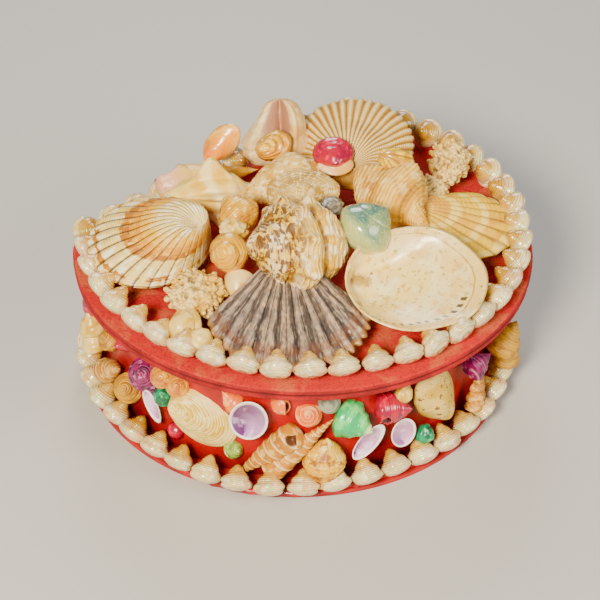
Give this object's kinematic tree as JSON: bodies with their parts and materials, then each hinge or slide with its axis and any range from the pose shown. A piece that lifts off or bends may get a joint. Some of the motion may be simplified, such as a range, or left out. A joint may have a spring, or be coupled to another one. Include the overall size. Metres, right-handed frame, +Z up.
{
  "type": "shell box",
  "caption": "Low keepsake box with a round front and flat back, hollow inside, its lift-off lid, wall and edges covered in sea shells, coral and rows of small top shells.",
  "frame": {"origin": "on the floor under the box, at the centre of the round front of the lid", "axes": "+Z up, +Y towards the flat back, +X to the right seen from the front"},
  "size_m": [0.1896, 0.1542, 0.0988],
  "materials": {
    "lid_felt": "worn red velvet over card",
    "wall_paper": "bright red painted paper over card",
    "base_card": "red-faced thin card",
    "pearl_shell": "pearly polished top shell",
    "grey_scallop": "grey ribbed scallop, satin",
    "ivory_clam": "smooth ivory clam, semi-gloss",
    "banded_cockle": "cream ribbed cockle with orange bands, satin",
    "tan_cockle": "tan ribbed cockle, matt",
    "cream_scallop": "cream scallop, satin",
    "rough_whelk": "knobbly sand-coloured whelk, matt",
    "smooth_conch": "smooth cream conch with a pink mouth, semi-gloss",
    "cream_shell": "cream shell, satin",
    "amber_shell": "translucent amber shell, glossy",
    "tan_shell": "tan spiral shell, satin",
    "pink_shell": "pale pink shell, satin",
    "dyed_pink_shell": "hot pink dyed shell, glossy",
    "gold_shell": "golden dished shell, glossy",
    "green_shell": "green spiral shell, glossy",
    "purple_shell": "purple top shell, satin",
    "lilac_shell": "pale lilac dished shell, glossy",
    "coral": "grainy cream coral, matt"
  },
  "bodies": {
    "root": {"lid_pearl_row": "pearl_shell", "base_pearl_row": "pearl_shell", "scallop_grey": "grey_scallop", "clam_ivory": "ivory_clam", "cockle_left": "banded_cockle", "cockle_back": "tan_cockle", "scallop_cream": "cream_scallop", "murex_centre": "rough_whelk", "murex_back": "rough_whelk", "moon_snail_green": "green_shell", "whelk_long": "smooth_conch", "whelk_sandy": "rough_whelk", "cockle_small": "tan_cockle", "conch_upright": "smooth_conch", "conch_spiky": "smooth_conch", "slipper_pink": "pink_shell", "jingle_amber": "amber_shell", "clam_magenta_pair": "dyed_pink_shell", "valve_gold": "gold_shell", "chip_grey": "cream_shell", "coral_back": "coral", "coral_front": "coral", "snail_amber": "amber_shell", "snail_and_pebble": "amber_shell", "snails_cream": "cream_shell", "cone_white": "cream_shell", "shells_left_end": "dyed_pink_shell", "snail_open_brown": "tan_shell", "trochus_pink_small": "dyed_pink_shell", "whelk_tan": "tan_shell", "trochus_purple": "purple_shell", "snails_orange": "amber_shell", "snail_green_dark": "green_shell", "trochus_tan": "tan_shell", "valve_lilac_left": "lilac_shell", "bead_magenta": "dyed_pink_shell", "clam_ridged": "cream_shell", "cone_pink": "pink_shell", "valve_purple": "lilac_shell", "trochus_pink_hole": "pink_shell", "snail_light_green": "green_shell", "turret_left": "tan_shell", "turret_right": "tan_shell", "snail_pink": "pink_shell", "snail_grey": "green_shell", "trochus_green": "green_shell", "turban_pink_pair": "dyed_pink_shell", "nutmeg_shell": "tan_shell", "valve_lilac_middle": "lilac_shell", "valve_lilac_right": "lilac_shell", "snail_teal": "green_shell", "clam_grey": "cream_shell", "trochus_purple_right": "purple_shell", "turret_worm": "tan_shell", "shells_right_end": "tan_shell", "shells_right_side": "tan_cockle", "shells_back": "tan_cockle", "base_panel": "base_card", "box_wall": "wall_paper", "lid_panel": "lid_felt"}
  },
  "joints": []
}
